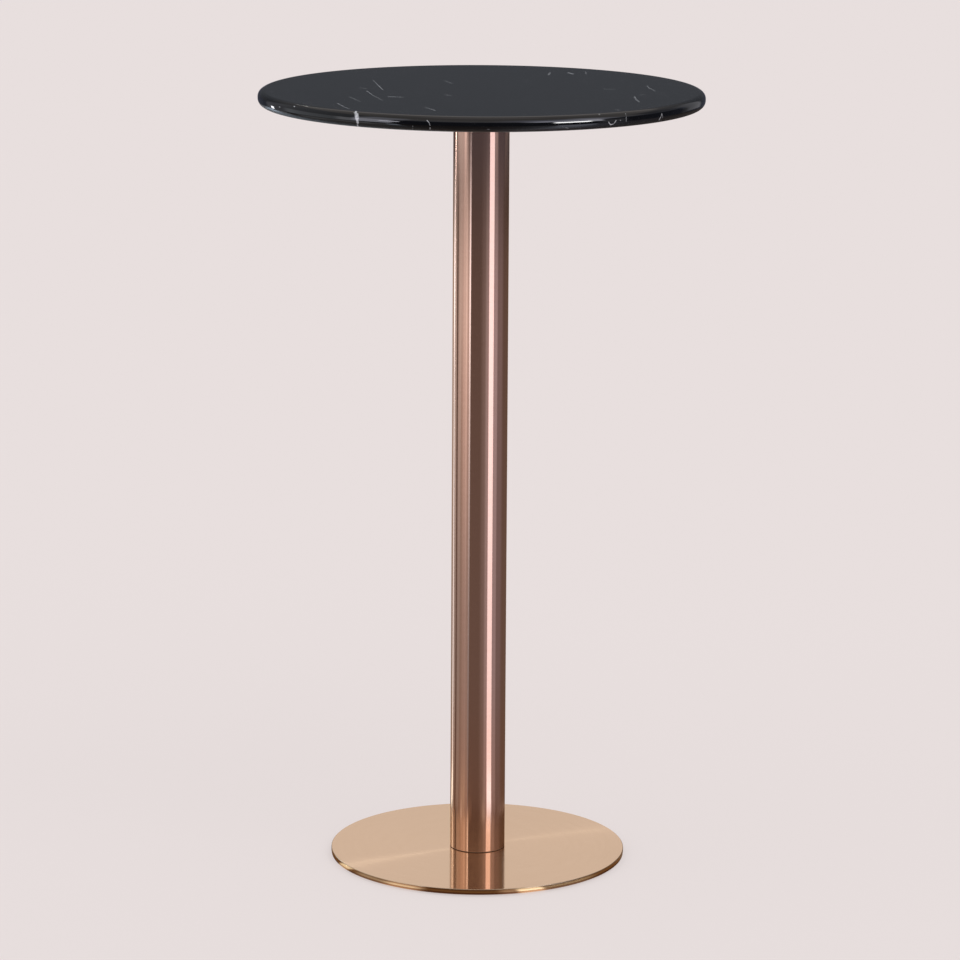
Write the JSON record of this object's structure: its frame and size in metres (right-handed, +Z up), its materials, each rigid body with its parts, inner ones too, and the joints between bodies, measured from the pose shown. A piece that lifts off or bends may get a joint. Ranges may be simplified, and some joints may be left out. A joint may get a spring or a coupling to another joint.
{
  "type": "bar table",
  "caption": "Round bar table with a polished black marble top, a brushed copper-coloured tube column and a flat round weighted base on levelling glides.",
  "frame": {"origin": "on the floor under the centre of the table, between the glides", "axes": "+Z up along the column, +X to the right and +Y away in the picture's view"},
  "size_m": [0.5999, 0.6, 1.065],
  "materials": {
    "black_marble": "polished, with sparse white veins",
    "copper_steel": "brushed, coated in a rose-copper colour",
    "bronze_edge": "plate with a dark copper-coloured edge",
    "black_steel": "matt black powder coat",
    "raw_steel": "turned steel",
    "zinc_steel": "bright zinc plating",
    "black_oxide_steel": "black oxide",
    "sleeve_brass": "turned",
    "black_rubber": "matt",
    "pad_plastic": "moulded, fine grain"
  },
  "bodies": {
    "table": {"marble_top": "black_marble", "anchor_sleeves": "sleeve_brass", "bedding_ring": "black_rubber", "mounting_plate": "black_steel", "mounting_screws": "zinc_steel", "mounting_washers": "zinc_steel", "head_screws": "black_oxide_steel", "column_head_plug": "raw_steel", "column_tube": "copper_steel", "column_foot_plug": "raw_steel", "column_foot_gasket": "black_rubber", "base_cover": "copper_steel", "base_plate": "bronze_edge", "base_screws": "black_oxide_steel"},
    "glide_1": {"glide_stud_1": "zinc_steel", "glide_pad_1": "pad_plastic"},
    "glide_2": {"glide_stud_2": "zinc_steel", "glide_pad_2": "pad_plastic"},
    "glide_3": {"glide_stud_3": "zinc_steel", "glide_pad_3": "pad_plastic"},
    "glide_4": {"glide_stud_4": "zinc_steel", "glide_pad_4": "pad_plastic"}
  },
  "joints": [
    {"name": "glide_1_height", "type": "slide", "parent": "table", "child": "glide_1", "axis": [0, 0, -1], "range_m": [0, 0.003]},
    {"name": "glide_2_height", "type": "slide", "parent": "table", "child": "glide_2", "axis": [0, 0, -1], "range_m": [0, 0.003]},
    {"name": "glide_3_height", "type": "slide", "parent": "table", "child": "glide_3", "axis": [0, 0, -1], "range_m": [0, 0.003]},
    {"name": "glide_4_height", "type": "slide", "parent": "table", "child": "glide_4", "axis": [0, 0, -1], "range_m": [0, 0.003]}
  ]
}
